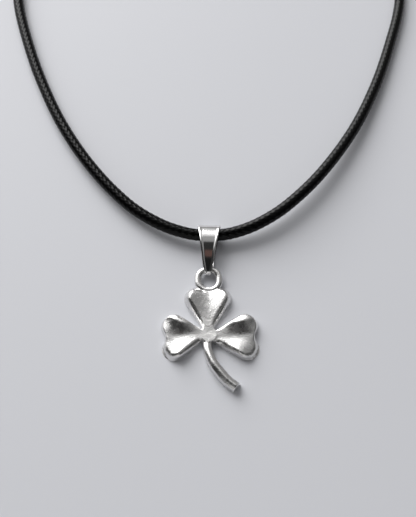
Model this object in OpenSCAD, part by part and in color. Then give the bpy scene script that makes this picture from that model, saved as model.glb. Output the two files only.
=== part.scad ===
// Shamrock pendant lying on its flat back, on a round cord necklace that is laid out in one open loop.
// The origin is on the flat back, where the three leaves meet. +Y points to the hanging ring, +Z up.

/* [Leaves] */
// Height of the leaves' rims above the flat back
leaf_t = 2.5; // [2.2:0.1:3]
// Radius of the two round lobes of each leaf
lobe_r = 2.3; // [2.2:0.05:2.4]
// Radius of the hollow curve between two lobes
notch_r = 1.8; // [1.4:0.1:2.2]
// Depth of each leaf's valley below its rims
valley_d = 0.9; // [0.5:0.1:1.2]
// Size of a leaf's foot outline on the flat back, as a share of its rim outline
foot_share = 1.07; // [1.03:0.01:1.08]

/* [Stem] */
// Height of the stem's ridge above the flat back
stem_t = 2.1; // [1.9:0.1:2.4]
// Height of the stem's two side edges
stem_edge_t = 1.5; // [1.3:0.1:1.8]
// How far the stem's sides lean out from its side edges to the flat back
stem_draft = 0.25; // [0.05:0.05:0.3]

/* [Hanging ring] */
// Radius of the ring's two round ends at the middle of its wire
ring_r = 1.95; // [1.9:0.05:2]
// How much longer than wide the ring is
ring_stretch = 0.6; // [0.4:0.1:0.7]
// Radius of the ring's round wire
ring_wire_r = 0.55; // [0.5:0.05:0.6]
// Distance of the ring's middle from the meeting point of the leaves
ring_y = 11.6; // [11.5:0.05:11.7]

/* [Bail] */
// Thickness of the folded strip
bail_t = 0.35; // [0.3:0.05:0.4]
// Outer radius of the fold round the cord
bail_top_r = 2.05; // [2:0.05:2.2]
// Outer radius of the fold in the hanging ring
bail_tip_r = 1.15; // [1.1:0.05:1.2]
// Lean of the bail to the right, in degrees
bail_lean = 1.6; // [0:0.2:2]

/* [Cord] */
// Diameter of the cord
cord_d = 2.5; // [2.2:0.1:2.6]

/* [Clasp] */
// Diameter of the barrel that joins the cord's ends
clasp_d = 4.2; // [3.9:0.1:4.2]
// Length of the barrel
clasp_len = 15; // [13:0.5:20]

/* [Hidden] */
$fn = 48;

// Columns: foot x, foot y, direction of the middle line, distance of the lobes from the foot,
// sideways distance of each lobe from the middle line
LEAVES = [
    [0, 0, 90, 7.62, 2.22],
    [0, 0, 183.6, 6.5, 2.13],
    [0, -0.5, 1.5, 7.36, 2.1],
];
// Where each leaf's straight sides begin, out from its foot and to each side
side_start = [0.6, 0.6];
// Points along a straight side, round a lobe and round half of the notch
side_steps = 3;
lobe_steps = 10;
notch_steps = 3;
// Columns: share of the outline's size, drop below the leaf's surface
LEAF_RINGS = [[1, 0.45], [0.95, 0.1], [0.87, 0], [0.7, 0], [0.52, 0], [0.34, 0], [0.16, 0]];
// Share of the half width at which the rim is highest, and how hollow the valley's sides are
rim_at = 0.85;
valley_power = 1.4;
// Drop of the rims where the leaves meet, and how far out it is gone
rim_drop = 0.7;
rim_drop_len = 4;

// Columns: x, y, half width of the stem at its side edges
STEM = [
    [0, -0.6, 0.75],
    [-0.15, -1.9, 0.72],
    [0.1, -3.5, 0.71],
    [1, -5.7, 0.8],
    [2.3, -7.5, 0.87],
    [3.75, -9.15, 0.87],
    [5.4, -10.45, 0.87],
];

// The bar of the hanging ring that the bail holds, and the bail's two folds, as [y, z]
bar_y = ring_y + ring_stretch / 2 + ring_r;
ring_z = bail_tip_r;
tip_at = [bar_y - 0.1, bail_tip_r];
loop_at = [21.4, bail_top_r];
// Columns: y, half width of the bail's strip
BAIL_WIDTHS = [[tip_at[0] - bail_tip_r - 1, 0.3], [13.5, 0.86], [15.3, 1.2], [17.6, 1.46], [24, 2.5]];

// The cord's middle line. The hidden stretch is stated once for the left side and mirrored for the right.
clasp_y = 185;
clasp_z = clasp_d / 2;
socket_len = 5;
socket_r = 1.45;
lie_z = cord_d / 2;
end_x = clasp_len / 2 - socket_len;
HIDDEN_SIDE = [
    [-end_x, clasp_y, clasp_z], [-8, clasp_y, clasp_z], [-15, 184, 1.8], [-25, 180.2, lie_z], [-34.5, 173, lie_z],
    [-42, 162, lie_z], [-46.5, 149, lie_z], [-48.8, 134, lie_z], [-49.4, 118, lie_z], [-48.7, 102, lie_z],
];
SEEN = [
    [-46.4, 85.5, lie_z], [-43, 73.6, lie_z], [-38.5, 61.6, lie_z], [-32.4, 48.9, 1.4], [-25, 37.6, 1.65],
    [-17, 28.7, 1.9], [-10.6, 24.1, 2.1], [-4.8, 21.7, 2.2], [0.2, 21.05, 2.2], [5, 21.6, 2.25],
    [10.4, 23.6, 2.6], [16.5, 27.7, 2.85], [24.1, 35.55, 2.8], [32.1, 47.15, 2.1], [38.2, 59.4, 1.5],
    [42.9, 71.8, lie_z], [46.8, 85, lie_z],
];
ROUTE = concat(HIDDEN_SIDE, SEEN, [for (i = [len(HIDDEN_SIDE) - 1:-1:0]) mirrored(HIDDEN_SIDE[i])]);
cord_sides = 8;
rings_per_step = 2;

function mirrored(p) = [-p[0], p[1], p[2]];
function clamped(x, low, high) = min(max(x, low), high);
function direction(a) = [cos(a), sin(a)];

// Faces of a solid made of equal rings of n points, clockwise as seen from the first ring's outside
function first_face(n) = [for (i = [0:n - 1]) i];
function band_faces(n, rings) = [
    for (r = [0:rings - 2])
        for (i = [0:n - 1])
            let (j = (i + 1) % n, a = r * n)
            for (t = [[a + i, a + j + n, a + j], [a + i, a + i + n, a + j + n]]) t
];
module swept(sections) {
    n = len(sections[0]);
    rings = len(sections);
    polyhedron([for (s = sections) each s], concat(
        [first_face(n)],
        band_faces(n, rings),
        [[for (i = [n - 1:-1:0]) (rings - 1) * n + i]]
    ));
}

// Leaf outline

// A leaf's own frame has u along its middle line, from its foot, and v across it
function tangent_turn(far, side) =
    let (d = [far, side] - side_start)
    atan2(d[1], d[0]) + asin(lobe_r / norm(d));
function tangent_point(far, side) = [far, side] + lobe_r * direction(tangent_turn(far, side) + 90);
function notch_u(far, side) = far + sqrt(pow(lobe_r + notch_r, 2) - side * side);
function notch_turn(far, side) = atan2(side, notch_u(far, side) - far);

function half_outline(far, side) =
    let (
        start = tangent_turn(far, side) + 90,
        end = -notch_turn(far, side),
        touch = tangent_point(far, side),
        middle = [notch_u(far, side), 0]
    )
    concat(
        [for (i = [0:side_steps - 1]) side_start + (touch - side_start) * i / side_steps],
        [for (i = [0:lobe_steps]) [far, side] + lobe_r * direction(start + (end - start) * i / lobe_steps)],
        [for (i = [1:notch_steps]) middle + notch_r * direction(180 + end * (1 - i / notch_steps))]
    );
function outline(far, side) =
    let (half = half_outline(far, side), n = len(half))
    concat([for (p = half) [p[0], -p[1]]], [for (i = [n - 2:-1:0]) half[i]]);

// Leaf surface

function half_width(u, far, side) =
    let (touch = tangent_point(far, side))
    u <= touch[0]
        ? side_start[1] + (touch[1] - side_start[1]) * max(u - side_start[0], 0) / (touch[0] - side_start[0])
        : side + sqrt(max(lobe_r * lobe_r - pow(u - far, 2), 0));
function surface_z(u, v, far, side) =
    let (
        share = min(abs(v) / (rim_at * half_width(u, far, side)), 1),
        foot_drop = rim_drop * pow(1 - clamped(u / rim_drop_len, 0, 1), 2),
        floor_z = leaf_t - valley_d,
        rim_z = max(leaf_t - foot_drop, floor_z)
    )
    floor_z + (rim_z - floor_z) * pow(share, valley_power);

function leaf_points(far, side) =
    let (edge = outline(far, side), c = [0.6 * far, 0])
    concat(
        [for (p = edge) let (q = c + foot_share * (p - c)) [q[0], q[1], 0]],
        [
            for (r = LEAF_RINGS)
                for (p = edge)
                    let (q = c + r[0] * (p - c))
                    [q[0], q[1], surface_z(q[0], q[1], far, side) - r[1]]
        ],
        [[c[0], 0, surface_z(c[0], 0, far, side)]]
    );

module leaf(far, side) {
    points = leaf_points(far, side);
    n = len(outline(far, side));
    rings = len(LEAF_RINGS) + 1;
    last = (rings - 1) * n;
    polyhedron(points, concat(
        [first_face(n)],
        band_faces(n, rings),
        [for (i = [0:n - 1]) [last + i, rings * n, last + (i + 1) % n]]
    ));
}

// Stem

function stem_turn(i) =
    let (a = STEM[max(i - 1, 0)], b = STEM[min(i + 1, len(STEM) - 1)])
    atan2(b[1] - a[1], b[0] - a[0]);
function stem_section(i) =
    let (at = [STEM[i][0], STEM[i][1]], across = direction(stem_turn(i) + 90), w = STEM[i][2])
    [for (s = [[w + stem_draft, 0], [w, stem_edge_t], [0, stem_t], [-w, stem_edge_t], [-w - stem_draft, 0]])
        [at[0] + s[0] * across[0], at[1] + s[0] * across[1], s[1]]];

module stem() {
    swept([for (i = [0:len(STEM) - 1]) stem_section(i)]);
}

module hanging_ring() {
    half = ring_stretch / 2;
    translate([0, ring_y, ring_z]) for (turn = [0, 180]) rotate(turn) {
        translate([0, half, 0]) rotate_extrude(angle = 180) translate([ring_r, 0]) circle(ring_wire_r);
        translate([ring_r, 0, 0]) rotate([90, 0, 0]) cylinder(h = ring_stretch, r = ring_wire_r, center = true);
    }
}

module leaves_and_stem() {
    for (leaf_row = LEAVES)
        translate([leaf_row[0], leaf_row[1], 0]) rotate(leaf_row[2]) leaf(leaf_row[3], leaf_row[4]);
    stem();
    cylinder(h = leaf_t - valley_d, r = 1.7);
}

// One casting, whose leaves and stem together are exactly as high as the rims
module shamrock() {
    color("silver") union() {
        resize([0, 0, leaf_t]) leaves_and_stem();
        hanging_ring();
    }
}

// Bail

// Side view of the closed strip, or with inset = bail_t the space inside it. Its straight runs end a hair
// inside the two round folds, so that each crosses the fold's circle instead of only touching it.
module bail_side(inset) {
    hair = 0.002;
    r1 = bail_tip_r - inset;
    r2 = bail_top_r - inset;
    d = loop_at - tip_at;
    rise = atan2(d[1], d[0]);
    top_normal = direction(rise + asin((r2 - r1) / norm(d)) + 90);
    translate(tip_at) circle(r1);
    translate(loop_at) circle(r2);
    polygon([
        tip_at - [0, r1 - hair],
        loop_at - [0, r2 - hair],
        loop_at,
        loop_at + (r2 - hair) * top_normal,
        tip_at + (r1 - hair) * top_normal,
        tip_at,
    ]);
}

module bail() {
    widest = BAIL_WIDTHS[len(BAIL_WIDTHS) - 1][1];
    color("silver") translate([0, bar_y, 0]) rotate(-bail_lean) translate([0, -bar_y, 0]) intersection() {
        rotate([90, 0, 90]) translate([0, 0, -widest]) linear_extrude(2 * widest) difference() {
            bail_side(0);
            bail_side(bail_t);
        }
        linear_extrude(2 * bail_top_r + 1) polygon(concat(
            [for (w = BAIL_WIDTHS) [w[1], w[0]]],
            [for (i = [len(BAIL_WIDTHS) - 1:-1:0]) [-BAIL_WIDTHS[i][1], BAIL_WIDTHS[i][0]]]
        ));
    }
}

// Cord

function step_len(i) = norm(ROUTE[i + 1] - ROUTE[i]);
function heading(i) =
    i == 0 ? (ROUTE[1] - ROUTE[0]) / step_len(0)
    : i == len(ROUTE) - 1 ? (ROUTE[i] - ROUTE[i - 1]) / step_len(i - 1)
    : (ROUTE[i + 1] - ROUTE[i - 1]) / (step_len(i) + step_len(i - 1));
// The smooth line through the route's points, at a share t of the way from point i to the next,
// and never lower than the cord lies
function on_route(i, t) =
    let (
        a = heading(i) * step_len(i),
        b = heading(i + 1) * step_len(i),
        p = ROUTE[i] * (1 + t * t * (2 * t - 3)) + a * t * pow(1 - t, 2)
            + ROUTE[i + 1] * t * t * (3 - 2 * t) - b * t * t * (1 - t)
    )
    [p[0], p[1], max(p[2], lie_z)];
line = concat(
    [for (i = [0:len(ROUTE) - 2]) for (k = [0:rings_per_step - 1]) on_route(i, k / rings_per_step)],
    [ROUTE[len(ROUTE) - 1]]
);
function line_heading(i) =
    let (d = line[min(i + 1, len(line) - 1)] - line[max(i - 1, 0)])
    d / norm(d);
// Ring i of the tube, with a flat side down. Both ends lie square in the clasp, and the line runs to the left there.
function tube_ring(i) =
    let (
        along = i == 0 || i == len(line) - 1 ? [-1, 0, 0] : line_heading(i),
        level = cross([0, 0, 1], along) / norm(cross([0, 0, 1], along)),
        up = cross(along, level),
        r = lie_z / cos(180 / cord_sides) - 0.003
    )
    [for (k = [0:cord_sides - 1])
        let (a = 360 * (k + 0.5) / cord_sides) line[i] + r * (cos(a) * level + sin(a) * up)];

module cord() {
    color("black") swept([for (i = [0:len(line) - 1]) tube_ring(i)]);
}

// Clasp

module clasp() {
    half = clasp_len / 2;
    rounding = 0.6;
    color("silver") translate([0, clasp_y, clasp_z]) rotate([0, 90, 0]) difference() {
        rotate_extrude() polygon([
            [0, -half],
            [clasp_d / 2 - rounding, -half],
            [clasp_d / 2, -half + rounding],
            [clasp_d / 2, half - rounding],
            [clasp_d / 2 - rounding, half],
            [0, half],
        ]);
        for (end = [-1, 1]) translate([0, 0, end * (half - socket_len / 2 + 0.5)])
            cylinder(h = socket_len + 1, r = socket_r, center = true);
    }
}

shamrock();
bail();
cord();
clasp();
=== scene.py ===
"""A shamrock pendant on a braided cord necklace, lying on a pale table.

Lengths are in metres, apart from the casting, which is shaped in millimetres and then brought to metres.
"""
import math

import bmesh
import bpy
import numpy as np
from mathutils import Matrix, Vector


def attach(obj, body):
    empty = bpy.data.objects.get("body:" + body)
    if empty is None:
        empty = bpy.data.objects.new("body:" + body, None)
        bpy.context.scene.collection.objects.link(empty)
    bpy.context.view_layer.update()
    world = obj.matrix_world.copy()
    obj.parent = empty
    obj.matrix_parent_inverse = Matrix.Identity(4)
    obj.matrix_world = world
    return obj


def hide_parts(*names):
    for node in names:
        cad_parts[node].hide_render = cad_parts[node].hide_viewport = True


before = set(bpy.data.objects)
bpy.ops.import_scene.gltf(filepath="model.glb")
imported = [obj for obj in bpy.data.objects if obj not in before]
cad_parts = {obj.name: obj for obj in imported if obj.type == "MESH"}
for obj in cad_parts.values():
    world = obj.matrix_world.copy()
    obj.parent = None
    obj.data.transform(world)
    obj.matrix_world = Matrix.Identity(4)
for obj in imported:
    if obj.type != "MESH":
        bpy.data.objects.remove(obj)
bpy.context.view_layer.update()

MM = 0.001


# Nodes and objects

def to_linear(hex_colour):
    """An sRGB hex colour as linear RGBA, by the sRGB standard's own formula."""
    channels = [int(hex_colour[i:i + 2], 16) / 255 for i in (1, 3, 5)]
    return [c / 12.92 if c <= 0.04045 else ((c + 0.055) / 1.055) ** 2.4 for c in channels] + [1.0]


def add_node(tree, kind, inputs=None, **settings):
    """Adds a node, sets its properties, and sets or links its inputs, which are named or numbered."""
    node = tree.nodes.new(kind)
    for name, value in settings.items():
        setattr(node, name, value)
    for key, value in (inputs or {}).items():
        if isinstance(value, bpy.types.NodeSocket):
            tree.links.new(value, node.inputs[key])
        else:
            node.inputs[key].default_value = value
    return node


def new_material(name):
    """An empty material with a Principled shader, and the shader and tree to build on."""
    material = bpy.data.materials.new(name)
    material.use_nodes = True
    tree = material.node_tree
    tree.nodes.clear()
    shader = add_node(tree, "ShaderNodeBsdfPrincipled")
    add_node(tree, "ShaderNodeOutputMaterial", {"Surface": shader.outputs["BSDF"]})
    return material, shader, tree


def add_object(name, data):
    """Puts a new object on the scene, at the origin."""
    obj = bpy.data.objects.new(name, data)
    bpy.context.scene.collection.objects.link(obj)
    return obj


def shade_smooth(mesh):
    """Shades all of a mesh's faces smooth."""
    mesh.polygons.foreach_set("use_smooth", [True] * len(mesh.polygons))


def object_from(bm, name, material):
    """Makes an object at the origin from a bmesh, shaded smooth."""
    mesh = bpy.data.meshes.new(name)
    bm.to_mesh(mesh)
    bm.free()
    shade_smooth(mesh)
    mesh.materials.append(material)
    return add_object(name, mesh)


def apply_modifiers(obj):
    """Bakes the object's modifiers into its mesh."""
    depsgraph = bpy.context.evaluated_depsgraph_get()
    mesh = bpy.data.meshes.new_from_object(obj.evaluated_get(depsgraph))
    obj.modifiers.clear()
    old = obj.data
    obj.data = mesh
    bpy.data.meshes.remove(old)


# Meshes and lines

def unit_grid(bm, columns, rows):
    """Adds a grid, and gives its vertices and how far across and along it each one is, from 0 to 1."""
    vertices = bmesh.ops.create_grid(bm, x_segments=columns, y_segments=rows, size=0.5)["verts"]
    flat = np.array([vertex.co for vertex in vertices]) + 0.5
    return vertices, flat[:, 0], flat[:, 1]


def move_to(vertices, points):
    """Moves each vertex to its own point."""
    for vertex, point in zip(vertices, points):
        vertex.co = point


def close_up(bm, merge):
    """Merges vertices that meet, fills the openings that are left, and turns all faces outward."""
    bmesh.ops.remove_doubles(bm, verts=bm.verts, dist=merge)
    bmesh.ops.holes_fill(bm, edges=[edge for edge in bm.edges if edge.is_boundary], sides=0)
    bmesh.ops.recalc_face_normals(bm, faces=bm.faces)


def unit(vectors):
    """Each row brought to length 1."""
    return vectors / np.linalg.norm(vectors, axis=1)[:, None]


def smooth_step(x):
    """A soft rise from 0 at x = 0 to 1 at x = 1."""
    x = np.clip(x, 0, 1)
    return x * x * (3 - 2 * x)


def smooth_min(a, b, blend):
    """The lower of two heights, rounded off where they cross."""
    return (a + b - np.sqrt((a - b) ** 2 + blend ** 2)) / 2


def travelled(line):
    """Distance along a line at each of its points."""
    return np.concatenate([[0], np.cumsum(np.linalg.norm(np.diff(line, axis=0), axis=1))])


def points_at(line, distance, along):
    """Points at the given distances along a line."""
    return np.stack([np.interp(along, distance, column) for column in line.T], axis=1)


def resample(line, shares):
    """Points at the given shares of a line's length."""
    distance = travelled(line)
    return points_at(line, distance, shares * distance[-1])


def arc(centre, radii, start_turn, end_turn, count):
    """Points along an arc. Its radii are one number, or one for each direction."""
    turns = np.linspace(start_turn, end_turn, count)
    return np.array(centre) + np.array(radii) * np.stack([np.cos(turns), np.sin(turns)], axis=1)


def bend(start, end, leave, arrive, length, t):
    """The smooth line between two points that leaves and arrives in the given directions, at shares t."""
    return (
        start * (1 + t * t * (2 * t - 3)) + end * t * t * (3 - 2 * t)
        + length * (leave * t * (1 - t) ** 2 - arrive * t * t * (1 - t))
    )


def smooth_line(points, steps):
    """The smooth line through the points, in so many steps from each to the next."""
    lengths = np.linalg.norm(np.diff(points, axis=0), axis=1)
    slopes = np.empty_like(points)
    slopes[0] = (points[1] - points[0]) / lengths[0]
    slopes[-1] = (points[-1] - points[-2]) / lengths[-1]
    slopes[1:-1] = (points[2:] - points[:-2]) / (lengths[1:] + lengths[:-1])[:, None]
    t = (np.arange(steps) / steps)[:, None]
    line = [
        bend(points[i], points[i + 1], slopes[i], slopes[i + 1], lengths[i], t)
        for i in range(len(points) - 1)
    ]
    return np.vstack(line + [points[-1:]])


# Camera, at the photograph's place over the pendant

FOCAL_LENGTH = 50
SENSOR_WIDTH = 36
NEAREST_SEEN = 0.005
CAMERA_AT = (0, -0.04569, 0.13412)
CAMERA_TILT = 25

camera_data = bpy.data.cameras.new("camera")
camera_data.lens = FOCAL_LENGTH
camera_data.sensor_width = SENSOR_WIDTH
camera_data.clip_start = NEAREST_SEEN
camera = add_object("camera", camera_data)
camera.location = CAMERA_AT
camera.rotation_euler = (math.radians(CAMERA_TILT), 0, 0)
bpy.context.scene.camera = camera


# Cord

CORD_D = 0.0025
# Height of its middle line where it lies on the table
LIE_Z = CORD_D / 2
# The same route as the CAD cord's. The hidden side is mirrored for the other half of the loop.
HIDDEN_SIDE = [
    (-0.0025, 0.185, 0.0021), (-0.008, 0.185, 0.0021), (-0.015, 0.184, 0.0018), (-0.025, 0.1802, LIE_Z),
    (-0.0345, 0.173, LIE_Z), (-0.042, 0.162, LIE_Z), (-0.0465, 0.149, LIE_Z), (-0.0488, 0.134, LIE_Z),
    (-0.0494, 0.118, LIE_Z), (-0.0487, 0.102, LIE_Z),
]
SEEN = [
    (-0.0464, 0.0855, LIE_Z), (-0.043, 0.0736, LIE_Z), (-0.0385, 0.0616, LIE_Z), (-0.0324, 0.0489, 0.0014),
    (-0.025, 0.0376, 0.00165), (-0.017, 0.0287, 0.0019), (-0.0106, 0.0241, 0.0021),
    (-0.0048, 0.0217, 0.0022), (0.0002, 0.02105, 0.0022), (0.005, 0.0216, 0.00225),
    (0.0104, 0.0236, 0.0026), (0.0165, 0.0277, 0.00285), (0.0241, 0.03555, 0.0028),
    (0.0321, 0.04715, 0.0021), (0.0382, 0.0594, 0.0015), (0.0429, 0.0718, LIE_Z), (0.0468, 0.085, LIE_Z),
]
ROUTE = np.array(HIDDEN_SIDE + SEEN + [(-x, y, z) for x, y, z in reversed(HIDDEN_SIDE)])
# Steps of the smooth line from one point of the route to the next
ROUTE_STEPS = 24

# Strands each way round the cord, length of one crossing, and height of a strand over the seams
STRANDS = 8
PICK = 0.00135
RELIEF = 0.00009
# How round a strand is across itself, and how soon it dips where it goes under another
STRAND_ROUNDNESS = 0.9
STRAND_DIP = 0.45
# The mesh: faces round the cord, length of a face, and how close two vertices are that merge
CORD_SIDES = 56
CORD_STEP = 0.00027
CORD_MERGE = CORD_STEP / 50
# How far before and after a point the cord's direction is taken
HEADING_REACH = CORD_D / 4


def braid_relief(around, along):
    """Height of the braid, from 0 in its seams to 1 on a strand's crest.

    Strands run both ways round the cord, and each crosses over and under the other set in turn.
    """
    right = STRANDS * around + along / PICK
    left = STRANDS * around - along / PICK
    right_is_over = (np.floor(right) + np.floor(left)) % 2 < 1
    across_right, across_left = (np.abs(np.sin(np.pi * w)) for w in (right, left))
    over = np.where(right_is_over, across_right, across_left)
    under = np.where(right_is_over, across_left, across_right)
    return over ** STRAND_ROUNDNESS * under ** STRAND_DIP


def make_cord(material):
    """The cord with its braid in relief, and its middle line."""
    line = smooth_line(ROUTE, ROUTE_STEPS)
    line[:, 2] = np.maximum(line[:, 2], LIE_Z)
    distance = travelled(line)
    length = distance[-1]
    bm = bmesh.new()
    vertices, around, along = unit_grid(bm, CORD_SIDES, round(length / CORD_STEP))
    along = along * length
    centre = points_at(line, distance, along)
    ahead = points_at(line, distance, along + HEADING_REACH)
    behind = points_at(line, distance, along - HEADING_REACH)
    heading = unit(ahead - behind)
    level = unit(np.cross([0, 0, 1], heading))
    up = np.cross(heading, level)
    radius = CORD_D / 2 - RELIEF * (1 - braid_relief(around, along))
    turn = 2 * np.pi * around
    sideways = (radius * np.cos(turn))[:, None] * level
    upward = (radius * np.sin(turn))[:, None] * up
    move_to(vertices, centre + sideways + upward)
    close_up(bm, CORD_MERGE)
    return object_from(bm, "braided_cord", material), line


# Shamrock casting, in millimetres

# Outline of a leaf: radius of its two lobes and of the notch between them, and start of its straight sides
LOBE_R = 2.3
NOTCH_R = 1.8
SIDE_START = (0.6, 0.6)
# Height of the rims and of the valley's floor, and radius of the valley along the middle line
RIM_Z = 2.5
VALLEY_Z = 1.5
VALLEY_R = 1.25
# How far a side bends down past its steepest place, how softly, and how fast this grows with its rise
DOME_SLOPE = 0.45
DOME_SOFTNESS = 2.4
DOME_SHARE = 0.45
# Share of a side's slope that is lost past its steepest place, and over what length
FLATTENING = 0.4
FLATTENING_LEN = 3.0
# Width over which the two halves run into each other, and how much the crest between a side and its
# shoulder is rounded off
HALVES_BLEND = 1.6
CREST_BLEND = 0.22
# Share of the edge's radius that is left on the middle line, and how far from it the radius is whole
NOTCH_EDGE = 0.45
NOTCH_EDGE_W = 1.6
# How far out from the foot the edge's rounding starts and is whole
EDGE_START = 1.3
EDGE_WHOLE = 2.6
# The outline on the flat back as a share of the rim's, and the point that it grows about, as a share of the
# way to the lobes
FOOT_SHARE = 1.07
FOOT_CENTRE = 0.6
# Columns: foot x, foot y, direction of the middle line, distance of the lobes from the foot, sideways
# distance of each lobe from the middle line, left half, right half
# Columns of a half: how far out its side is steepest, how late it steepens, its slope there, width and drop
# of the shoulder outside the crest, radius of the edge
LEAVES = [
    (0, 0, 90, 7.62, 2.22, (8.0, 1.2, 0.36, 2.0, 0.62, 1.2), (8.0, 1.2, 0.36, 2.0, 0.6, 1.2)),
    (0, 0, 183.6, 6.5, 2.13, (5.0, 0.6, 0.31, 0.6, 0.1, 1.1), (5.0, 2.0, 0.58, 2.0, 0.6, 0.4)),
    (0, -0.5, 1.5, 7.36, 2.1, (6.8, 2.0, 0.58, 2.0, 0.6, 0.4), (5.6, 0.6, 0.31, 0.6, 0.1, 1.1)),
]
# A leaf's mesh: steps round its outline, out along its top, down its wall and in along its back
LEAF_COLUMNS = 120
LEAF_TOP = 36
LEAF_WALL = 4
LEAF_BACK = 8
# Points on each arc of the outline, and the places along it that distances to the edge are taken from
ARC_POINTS = 200
EDGE_PLACES = np.linspace(0, 1, 800)[::4]

# Columns: x, y, half width, height of the ridge, height of the side edges
STEM = [
    (0, 0.2, 0.8, 1.2, 1.05), (0, -0.6, 0.78, 1.4, 1.15), (-0.15, -1.9, 0.76, 1.62, 1.3),
    (0.1, -3.5, 0.76, 1.85, 1.45), (1.0, -5.7, 0.84, 2.03, 1.53), (2.3, -7.5, 0.92, 2.05, 1.5),
    (3.75, -9.15, 0.92, 1.98, 1.42), (5.4, -10.45, 0.92, 1.9, 1.35),
]
# How far its sides lean out, and how full it is between a side edge and the ridge
STEM_DRAFT = 0.2
STEM_CREST = 1.7
# Its mesh: steps from one row above to the next, along it all, over its top, down a wall, across its back
STEM_STEPS = 12
STEM_ROWS = 90
STEM_TOP = 16
STEM_WALL = 3
STEM_BACK = 6

RING_R = 1.95
RING_WIRE_R = 0.62
RING_AT = Vector((0.12, 11.6, 1.05))
# How much longer than round it is, and how softly the stretch begins at its middle
RING_STRETCH = 0.6
RING_STRETCH_START = 0.2
RING_WIDEN = 1.1
RING_FLATTEN = 0.9
# Rise of the ring for each mm toward the bail
RING_TILT = 0.05
RING_WIRE_SIDES = 32
RING_STEPS = 96

# The hub where the leaves meet, and how its top rises for each mm to the right and toward the ring
HUB_R = 1.65
HUB_DRAFT = 0.1
HUB_AT = (0.1, 0.0)
HUB_SIDES = 64
HUB_RISE = (0.01, -0.05)
# The root between the top leaf and the ring: radius at its foot and its top, height and place
ROOT_FOOT_R = 1.15
ROOT_TOP_R = 1.0
ROOT_Z = 1.46
ROOT_AT = (0.05, 8.85)
ROOT_SIDES = 48

# How close two vertices are that merge, and how short an edge is that has collapsed
CASTING_MERGE = 1e-4
COLLAPSED = 1e-3
# Size of the voxels that make one form of it all, and how far the edges are tumbled
VOXEL = 0.087
TUMBLE = 0.5
TUMBLE_PASSES = 8


def half_outline(far, side):
    """Points along half a leaf's outline, in the leaf's own frame, from its foot into its notch."""
    start, lobe = np.array(SIDE_START), np.array((far, side))
    reach = lobe - start
    touch_turn = math.atan2(reach[1], reach[0]) + math.asin(LOBE_R / np.hypot(*reach)) + math.pi / 2
    notch_u = far + math.sqrt((LOBE_R + NOTCH_R) ** 2 - side ** 2)
    notch_turn = math.atan2(side, notch_u - far)
    return np.vstack([
        [(0, 0)], [start], arc(lobe, LOBE_R, touch_turn, -notch_turn, ARC_POINTS),
        arc((notch_u, 0), NOTCH_R, math.pi - notch_turn, math.pi, ARC_POINTS),
    ])


def leaf_height(uv, side, edge_distance, left, right):
    """Height of the leaf's top.

    It is a rounded valley whose sides rise outward, domed along the leaf, with a shoulder outside the crest
    and a rounded edge. The two halves run into each other along the middle line.
    """
    out, off_middle = uv[:, 0], np.abs(uv[:, 1])
    leftness = smooth_step(0.5 + side * uv[:, 1] / HALVES_BLEND)
    peak_u, lateness, slope, shoulder_w, shoulder_drop, edge_r = (
        b + (a - b) * leftness for a, b in zip(left, right)
    )
    beyond = np.maximum(out - peak_u, 0)
    flattened = 1 - FLATTENING * smooth_step(beyond / FLATTENING_LEN)
    steep = slope * smooth_step(out / peak_u) ** lateness * flattened
    rise = np.sqrt(uv[:, 1] ** 2 + VALLEY_R ** 2) - VALLEY_R
    dome = DOME_SLOPE * (np.sqrt(beyond ** 2 + DOME_SOFTNESS ** 2) - DOME_SOFTNESS)
    valley = VALLEY_Z + steep * rise - dome * np.clip(DOME_SHARE * rise, 0, 1)
    shoulder = RIM_Z - shoulder_drop * (1 - np.clip(edge_distance / shoulder_w, 0, 1)) ** 2
    edge_r = edge_r * (NOTCH_EDGE + (1 - NOTCH_EDGE) * smooth_step(off_middle / NOTCH_EDGE_W))
    rounding = edge_r * (1 - np.sqrt(1 - (1 - np.clip(edge_distance / edge_r, 0, 1)) ** 2))
    rounded = smooth_step((out - EDGE_START) / (EDGE_WHOLE - EDGE_START))
    return smooth_min(valley, shoulder, CREST_BLEND) - rounding * rounded


def add_leaf(bm, foot_x, foot_y, turn, far, side, left, right):
    """A closed leaf: its top runs from the middle line out to the rim, and its wall and back close it."""
    outline = half_outline(far, side)
    rows = LEAF_TOP + LEAF_WALL + LEAF_BACK
    vertices, round_share, row = unit_grid(bm, LEAF_COLUMNS, rows)
    row = row * rows
    on_top = row <= LEAF_TOP
    sign = np.where(round_share <= 0.5, 1, -1)
    share = 1 - np.abs(2 * round_share - 1)
    rim = resample(outline, share)
    middle = np.stack([share * outline[-1, 0], np.zeros_like(share)], axis=1)
    outward = np.where(
        on_top, np.sin(np.pi / 2 * np.clip(row / LEAF_TOP, 0, 1)),
        np.where(row <= LEAF_TOP + LEAF_WALL, 1, (rows - row) / LEAF_BACK),
    )
    uv = middle + (rim - middle) * outward[:, None]
    edge_points = resample(outline, EDGE_PLACES)
    edge_distance = np.linalg.norm(uv[:, None, :] - edge_points[None], axis=2).min(axis=1)
    top_z = leaf_height(uv, sign, edge_distance, left, right)
    edge_z = leaf_height(rim, sign, np.zeros_like(share), left, right)
    down = np.clip((row - LEAF_TOP) / LEAF_WALL, 0, 1)
    z = np.where(on_top, top_z, edge_z * (1 - down))
    centre = np.array((FOOT_CENTRE * far, 0))
    spread = 1 + (FOOT_SHARE - 1) * down
    uv = centre + (uv - centre) * spread[:, None]
    angle = math.radians(turn)
    x = foot_x + uv[:, 0] * math.cos(angle) - sign * uv[:, 1] * math.sin(angle)
    y = foot_y + uv[:, 0] * math.sin(angle) + sign * uv[:, 1] * math.cos(angle)
    move_to(vertices, np.stack([x, y, z], axis=1))


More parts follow.
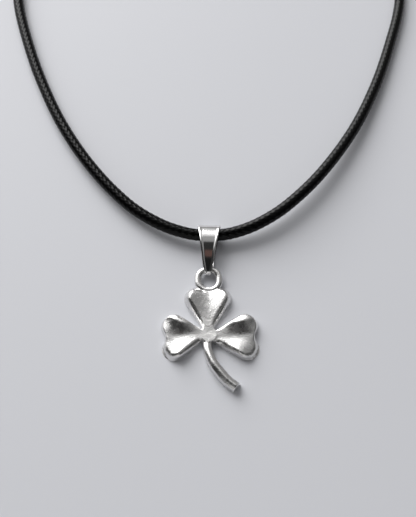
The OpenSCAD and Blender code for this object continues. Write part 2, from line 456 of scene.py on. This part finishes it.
def add_stem(bm):
    """The stem: a low ridge over sides that lean out, cut off at its end."""
    line = smooth_line(np.array(STEM), STEM_STEPS)
    line = resample(line, np.linspace(0, 1, STEM_ROWS + 1))
    heading = unit(np.gradient(line[:, :2], axis=0))
    wall_at, back_at, far_wall_at, sides = np.cumsum((STEM_TOP, STEM_WALL, STEM_BACK, STEM_WALL))
    vertices, around, along = unit_grid(bm, int(sides), STEM_ROWS)
    around = around * sides
    index = np.rint(along * STEM_ROWS).astype(int)
    middle_x, middle_y, width, ridge, edge = line[index].T
    heading_x, heading_y = heading[index].T
    turn = np.pi * np.clip(around / STEM_TOP, 0, 1)
    down = np.clip((around - wall_at) / STEM_WALL, 0, 1)
    under = np.clip((around - back_at) / STEM_BACK, 0, 1)
    up = np.clip((around - far_wall_at) / STEM_WALL, 0, 1)
    foot = width + STEM_DRAFT
    across = np.cos(turn) * width
    across = np.where(around > wall_at, -width - STEM_DRAFT * down, across)
    across = np.where(around > back_at, foot * (2 * under - 1), across)
    across = np.where(around > far_wall_at, foot - STEM_DRAFT * up, across)
    z = edge + (ridge - edge) * (1 - np.abs(np.cos(turn)) ** STEM_CREST)
    z = np.where(around > wall_at, edge * (1 - down), z)
    z = np.where(around > far_wall_at, edge * up, z)
    past_end = np.where(index == STEM_ROWS, STEM_DRAFT * (1 - np.clip(z / edge, 0, 1)), 0)
    x = middle_x + across * heading_y + past_end * heading_x
    y = middle_y - across * heading_x + past_end * heading_y
    move_to(vertices, np.stack([x, y, z], axis=1))


def add_ring(bm):
    """The hanging ring: a round wire spun round, then stretched and tilted. It comes first in the bmesh."""
    circle = bmesh.ops.create_circle(bm, segments=RING_WIRE_SIDES, radius=RING_WIRE_R)["verts"]
    bmesh.ops.rotate(bm, verts=circle, matrix=Matrix.Rotation(math.pi / 2, 3, "X"), cent=(0, 0, 0))
    bmesh.ops.translate(bm, verts=circle, vec=(RING_R, 0, 0))
    edges = list({edge for vertex in circle for edge in vertex.link_edges})
    bmesh.ops.spin(
        bm, geom=circle + edges, cent=(0, 0, 0), axis=(0, 0, 1), angle=2 * math.pi, steps=RING_STEPS,
        use_merge=True,
    )
    points = np.array([vertex.co for vertex in bm.verts])
    points[:, 0] *= RING_WIDEN
    points[:, 1] += RING_STRETCH / 2 * np.tanh(points[:, 1] / RING_STRETCH_START)
    points[:, 2] = RING_FLATTEN * points[:, 2] + RING_TILT * points[:, 1]
    move_to(bm.verts, points + np.array(RING_AT))


def add_post(bm, foot_r, top_r, height, at, sides):
    """A round post that stands on the flat back, and its vertices."""
    vertices = bmesh.ops.create_cone(
        bm, cap_ends=True, segments=sides, radius1=foot_r, radius2=top_r, depth=height
    )["verts"]
    bmesh.ops.translate(bm, verts=vertices, vec=(*at, height / 2))
    return vertices


def drop_specks(mesh):
    """Deletes collapsed faces, and the specks of mesh that a remesh leaves apart from the main form."""
    bm = bmesh.new()
    bm.from_mesh(mesh)
    bmesh.ops.dissolve_degenerate(bm, edges=bm.edges, dist=COLLAPSED)
    unvisited = set(bm.verts)
    parts = []
    while unvisited:
        part = []
        found = [unvisited.pop()]
        while found:
            vertex = found.pop()
            part.append(vertex)
            fresh = {edge.other_vert(vertex) for edge in vertex.link_edges} & unvisited
            unvisited -= fresh
            found.extend(fresh)
        parts.append(part)
    main = max(parts, key=len)
    specks = [vertex for part in parts if part is not main for vertex in part]
    bmesh.ops.delete(bm, geom=specks, context="VERTS")
    bmesh.ops.recalc_face_normals(bm, faces=bm.faces)
    bm.to_mesh(mesh)
    bm.free()


def make_shamrock(material):
    """The casting: ring, leaves, stem, hub and root, remeshed as one form and tumbled."""
    bm = bmesh.new()
    add_ring(bm)
    for row in LEAVES:
        add_leaf(bm, *row)
    add_stem(bm)
    hub = add_post(bm, HUB_R + HUB_DRAFT, HUB_R, VALLEY_Z, HUB_AT, HUB_SIDES)
    for vertex in hub:
        if vertex.co.z > VALLEY_Z / 2:
            vertex.co.z += HUB_RISE[0] * vertex.co.x + HUB_RISE[1] * vertex.co.y
    add_post(bm, ROOT_FOOT_R, ROOT_TOP_R, ROOT_Z, ROOT_AT, ROOT_SIDES)
    close_up(bm, CASTING_MERGE)
    shamrock = object_from(bm, "shamrock_casting", material)
    remesh = shamrock.modifiers.new("one_casting", "REMESH")
    remesh.mode = "VOXEL"
    remesh.voxel_size = VOXEL
    smooth = shamrock.modifiers.new("tumbled", "SMOOTH")
    smooth.factor = TUMBLE
    smooth.iterations = TUMBLE_PASSES
    apply_modifiers(shamrock)
    drop_specks(shamrock.data)
    shamrock.data.transform(Matrix.Scale(MM, 4))
    shade_smooth(shamrock.data)
    return shamrock


# Bail

BAIL_T = 0.00035
# The fold round the cord, seen from the side: its radius, and the y of its middle and of its far end
BAIL_TOP_R = 0.00205
BAIL_TOP_Y = 0.0199
BAIL_FAR_Y = 0.02345
# The fold in the ring: its radius, and its middle as (y, z)
BAIL_TIP_R = 0.00115
TIP_AT = (0.01367, 0.00115)
# How steeply the bowed run between them leaves the tip and arrives at the top
BAIL_TIP_SLOPE = math.radians(24)
BAIL_TOP_SLOPE = math.radians(11)
# Lean of the whole bail to the right, about the bar of the ring
BAIL_LEAN = math.radians(1.6)
BAR_Y = 0.01385
# Columns: y, half width of the strip
BAIL_WIDTHS = [(0.0116, 0.0003), (0.0135, 0.00086), (0.0153, 0.0012), (0.0176, 0.00146), (0.024, 0.0025)]
# The rolled rim along each edge: height, distance from the edge, width. Then the bevel of the edge itself.
BAIL_RIM_H = 0.00008
BAIL_RIM_AT = 0.00022
BAIL_RIM_W = 0.00018
BAIL_EDGE_R = 0.00006
# The mesh: points on each fold and run, steps round the bail and across the strip, and how close two
# vertices are that merge
FOLD_POINTS = 60
BAIL_STEPS = 160
BAIL_COLUMNS = 44
BAIL_MERGE = 1e-7


def bail_side():
    """The strip's closed line from the side, as (y, z): a wide fold, a round tip and a bowed run above."""
    up = math.pi / 2
    reach = BAIL_FAR_Y - BAIL_TOP_Y
    past = math.atan(math.tan(BAIL_TOP_SLOPE) * reach / BAIL_TOP_R)
    loop = arc((BAIL_TOP_Y, BAIL_TOP_R), (reach, BAIL_TOP_R), up + past, -up, FOLD_POINTS)
    tip = arc(TIP_AT, BAIL_TIP_R, -up, -3 * up + BAIL_TIP_SLOPE, FOLD_POINTS)
    leave = np.array((math.cos(BAIL_TIP_SLOPE), math.sin(BAIL_TIP_SLOPE)))
    arrive = np.array((math.cos(BAIL_TOP_SLOPE), math.sin(BAIL_TOP_SLOPE)))
    run = np.linalg.norm(loop[0] - tip[-1])
    t = np.linspace(0, 1, FOLD_POINTS)[1:-1, None]
    bowed = bend(tip[-1], loop[0], leave, arrive, run, t)
    return resample(np.vstack([loop, tip, bowed, loop[:1]]), np.arange(BAIL_STEPS) / BAIL_STEPS)


def make_bail(material):
    """The bail: one tapered strip with rolled rims, folded into a closed loop."""
    side = bail_side()
    ahead = unit(np.roll(side, -1, axis=0) - np.roll(side, 1, axis=0))
    outward = np.stack([-ahead[:, 1], ahead[:, 0]], axis=1)
    bm = bmesh.new()
    vertices, across, along = unit_grid(bm, BAIL_COLUMNS, BAIL_STEPS)
    index = np.rint(along * BAIL_STEPS).astype(int) % BAIL_STEPS
    share = 2 * across - 1
    strip_y, strip_width = np.array(BAIL_WIDTHS).T
    half_width = np.interp(side[index][:, 0], strip_y, strip_width)
    from_edge = half_width * (1 - np.abs(share))
    rim = BAIL_RIM_H * (np.exp(-((from_edge - BAIL_RIM_AT) / BAIL_RIM_W) ** 2) - 1)
    yz = side[index] + outward[index] * rim[:, None]
    move_to(vertices, np.stack([share * half_width, yz[:, 0], yz[:, 1]], axis=1))
    bmesh.ops.remove_doubles(bm, verts=bm.verts, dist=BAIL_MERGE)
    bmesh.ops.recalc_face_normals(bm, faces=bm.faces)
    bail = object_from(bm, "folded_bail", material)
    wall = bail.modifiers.new("strip", "SOLIDIFY")
    wall.thickness = BAIL_T
    wall.offset = -1
    edge = bail.modifiers.new("edges", "BEVEL")
    edge.width = BAIL_EDGE_R
    edge.segments = 2
    edge.limit_method = "ANGLE"
    apply_modifiers(bail)
    to_bar = Matrix.Translation((0, BAR_Y, 0))
    lean = Matrix.Rotation(-BAIL_LEAN, 4, "Z")
    bail.data.transform(to_bar @ lean @ to_bar.inverted())
    return bail


# Materials

def waxed_braid():
    """Cotton braid, dyed black and waxed.

    The strands' crests shine where the wax is thick, and are duller and a little greyer where it is worn and
    the yarns show.
    """
    material, shader, tree = new_material("waxed_cotton_braid")
    shader.inputs["IOR"].default_value = 1.23
    at = add_node(tree, "ShaderNodeTexCoord").outputs["Object"]
    # Worn places are about 0.9 mm long
    wear = add_node(tree, "ShaderNodeTexNoise", {
        "Vector": at, "Scale": 1 / (0.9 * MM), "Detail": 3.0,
    }).outputs["Fac"]
    # Yarns are about 0.16 mm thick
    yarns = add_node(tree, "ShaderNodeTexNoise", {
        "Vector": at, "Scale": 1 / (0.16 * MM), "Detail": 2.0,
    }).outputs["Fac"]
    dye = add_node(tree, "ShaderNodeValToRGB", {"Fac": wear})
    for stop, position, tint in zip(dye.color_ramp.elements, (0.35, 0.75), ("#020202", "#0c0c0d")):
        stop.position = position
        stop.color = to_linear(tint)
    wax = add_node(tree, "ShaderNodeMapRange", {
        "Value": wear, "From Min": 0.35, "From Max": 0.65, "To Min": 0.11, "To Max": 0.24,
    })
    bump = add_node(tree, "ShaderNodeBump", {"Height": yarns, "Strength": 1.0, "Distance": 0.008 * MM})
    tree.links.new(dye.outputs["Color"], shader.inputs["Base Color"])
    tree.links.new(wax.outputs["Result"], shader.inputs["Roughness"])
    tree.links.new(bump.outputs["Normal"], shader.inputs["Normal"])
    return material


def cast_alloy():
    """White zinc alloy, cast and tumbled: bright, with shallow dents and a satin grain left by the mould."""
    material, shader, tree = new_material("tumbled_cast_alloy")
    shader.inputs["Base Color"].default_value = to_linear("#e4e3e2")
    shader.inputs["Metallic"].default_value = 1.0
    at = add_node(tree, "ShaderNodeTexCoord").outputs["Object"]
    # Tumbling dents are about 1.6 mm wide
    dents = add_node(tree, "ShaderNodeTexNoise", {
        "Vector": at, "Scale": 1 / (1.6 * MM), "Detail": 2.0,
    }).outputs["Fac"]
    # The real grain is too fine to show, so it is drawn 0.25 mm coarse
    grain = add_node(tree, "ShaderNodeTexNoise", {
        "Vector": at, "Scale": 1 / (0.25 * MM), "Detail": 3.0,
    }).outputs["Fac"]
    patches = add_node(tree, "ShaderNodeMapRange", {
        "Value": dents, "From Min": 0.4, "From Max": 0.65, "To Min": 0.2, "To Max": 0.3,
    })
    soft = add_node(tree, "ShaderNodeBump", {"Height": dents, "Strength": 1.0, "Distance": 0.05 * MM})
    fine = add_node(tree, "ShaderNodeBump", {
        "Height": grain, "Strength": 1.0, "Distance": 0.034 * MM, "Normal": soft.outputs["Normal"],
    })
    tree.links.new(patches.outputs["Result"], shader.inputs["Roughness"])
    tree.links.new(fine.outputs["Normal"], shader.inputs["Normal"])
    return material


def add_lines(tree, shader, apart, length):
    """Fine tool lines in Y and Z: noise that is short across them and long along them."""
    at = add_node(tree, "ShaderNodeTexCoord").outputs["Object"]
    drawn_out = add_node(tree, "ShaderNodeMapping", {
        "Vector": at, "Scale": (1 / apart, 1 / length, 1 / length),
    }).outputs["Vector"]
    lines = add_node(tree, "ShaderNodeTexNoise", {
        "Vector": drawn_out, "Scale": 1.0, "Detail": 2.0,
    }).outputs["Fac"]
    bump = add_node(tree, "ShaderNodeBump", {"Height": lines, "Strength": 1.0, "Distance": 0.006 * MM})
    tree.links.new(bump.outputs["Normal"], shader.inputs["Normal"])


def strip_metal():
    """Rolled strip, folded and polished: almost a mirror, with faint lines along it.

    The real lines are too fine to show, so they are drawn 0.22 mm apart.
    """
    material, shader, tree = new_material("polished_strip")
    shader.inputs["Base Color"].default_value = to_linear("#e8e7e7")
    shader.inputs["Metallic"].default_value = 1.0
    shader.inputs["Roughness"].default_value = 0.08
    add_lines(tree, shader, 0.22 * MM, 9 * MM)
    return material


def turned_steel():
    """Stainless steel turned on a lathe and brushed: faint rings round the barrel, 0.18 mm apart."""
    material, shader, tree = new_material("turned_stainless_steel")
    shader.inputs["Base Color"].default_value = to_linear("#c9c8c5")
    shader.inputs["Metallic"].default_value = 1.0
    shader.inputs["Roughness"].default_value = 0.24
    add_lines(tree, shader, 0.18 * MM, 12 * MM)
    return material


# The pieces in the frame

cord, cord_line = make_cord(waxed_braid())
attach(cord, "root")
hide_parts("cord")

shamrock = make_shamrock(cast_alloy())
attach(shamrock, "root")
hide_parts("shamrock")

bail = make_bail(strip_metal())
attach(bail, "root")
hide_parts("bail")

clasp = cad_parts["clasp"]
clasp.data.materials.clear()
clasp.data.materials.append(turned_steel())


# Table

# Half a side of the table
TABLE_HALF = 1.0
# The table is a hair below the pieces, so that its face and theirs don't coincide
TABLE_DROP = 0.00002


def make_table():
    """A plain pale table top with a dull paint."""
    paint, shader, _ = new_material("pale_table")
    shader.inputs["Base Color"].default_value = to_linear("#d5d6db")
    shader.inputs["Roughness"].default_value = 0.6
    bm = bmesh.new()
    bmesh.ops.create_grid(bm, x_segments=1, y_segments=1, size=TABLE_HALF)
    table = object_from(bm, "table_top", paint)
    table.data.transform(Matrix.Translation((0, 0, -TABLE_DROP)))


make_table()


# Light

# Soft cards round the pendant, which the metal mirrors
# Columns: azimuth from the far side with left negative, elevation, half angles where the card is whole and
# where it ends, colour, strength
CARDS = [
    (0, 62, 8, 24, "#ffffff", 0.36),
    (-42, 28, 20, 46, "#ffffff", 1.75),
    (-102, 26, 20, 32, "#ffffff", 0.04),
    (180, 15, 25, 50, "#ffffff", 0.75),
    (180, 57, 16, 26, "#ffffff", 0.02),
    (115, 15, 30, 50, "#ffffff", 0.06),
    (180, 75, 18, 22, "#ffffff", 0.03),
    (-168, 81.7, 2.2, 4.4, "#6e5650", 0.75),
    (178, 69, 7, 10, "#ffffff", 0.012),
    (15, 49, 8, 17, "#ffffff", 0.95),
    (-112, 54, 10, 22, "#ffffff", 0.03),
]
STUDIO_GREY = 0.26
# Toward the horizon the cards give way to a plain grey, between these heights on a sphere of radius 1
HORIZON_GREY = 0.4
HORIZON_START = 0.06
HORIZON_END = 0.2

WINDOW_AT = Vector((-0.5, 1.0, 0.68))
WINDOW_SIDE = 1.0
WINDOW_POWER = 15.5


def make_world():
    """The studio round the pendant: grey, with the cards on it, and plain toward the horizon."""
    world = bpy.data.worlds.new("studio")
    bpy.context.scene.world = world
    world.use_nodes = True
    tree = world.node_tree
    tree.nodes.clear()
    direction = add_node(tree, "ShaderNodeTexCoord").outputs["Generated"]
    colour = add_node(tree, "ShaderNodeRGB").outputs["Color"]
    colour.default_value = (STUDIO_GREY, STUDIO_GREY, STUDIO_GREY, 1)
    for azimuth, elevation, inner, outer, tint, strength in CARDS:
        turn, rise = math.radians(azimuth), math.radians(elevation)
        axis = (math.sin(turn) * math.cos(rise), math.cos(turn) * math.cos(rise), math.sin(rise))
        closeness = add_node(tree, "ShaderNodeVectorMath", {
            0: direction, 1: axis,
        }, operation="DOT_PRODUCT").outputs["Value"]
        share = add_node(tree, "ShaderNodeMapRange", {
            "Value": closeness,
            "From Min": math.cos(math.radians(outer)),
            "From Max": math.cos(math.radians(inner)),
        }, interpolation_type="SMOOTHSTEP").outputs["Result"]
        card = [c * strength for c in to_linear(tint)[:3]] + [1.0]
        colour = add_node(tree, "ShaderNodeMix", {
            "Factor": share, "A": colour, "B": card,
        }, data_type="RGBA").outputs["Result"]
    height = add_node(tree, "ShaderNodeSeparateXYZ", {0: direction}).outputs["Z"]
    clear = add_node(tree, "ShaderNodeMapRange", {
        "Value": height, "From Min": HORIZON_START, "From Max": HORIZON_END,
    }, interpolation_type="SMOOTHSTEP").outputs["Result"]
    backdrop = add_node(tree, "ShaderNodeMix", {
        "Factor": clear, "A": (HORIZON_GREY, HORIZON_GREY, HORIZON_GREY, 1), "B": colour,
    }, data_type="RGBA").outputs["Result"]
    background = add_node(tree, "ShaderNodeBackground", {"Color": backdrop, "Strength": 1.0})
    add_node(tree, "ShaderNodeOutputWorld", {"Surface": background.outputs["Background"]})


def make_window():
    """A soft square light beyond the pendant on the left, turned to it."""
    data = bpy.data.lights.new("window", "AREA")
    data.shape = "RECTANGLE"
    data.size = WINDOW_SIDE
    data.size_y = WINDOW_SIDE
    data.energy = WINDOW_POWER
    window = add_object("window", data)
    window.location = WINDOW_AT
    window.rotation_euler = WINDOW_AT.to_track_quat("Z", "Y").to_euler()


make_world()
make_window()
bpy.context.scene.view_settings.view_transform = "Standard"
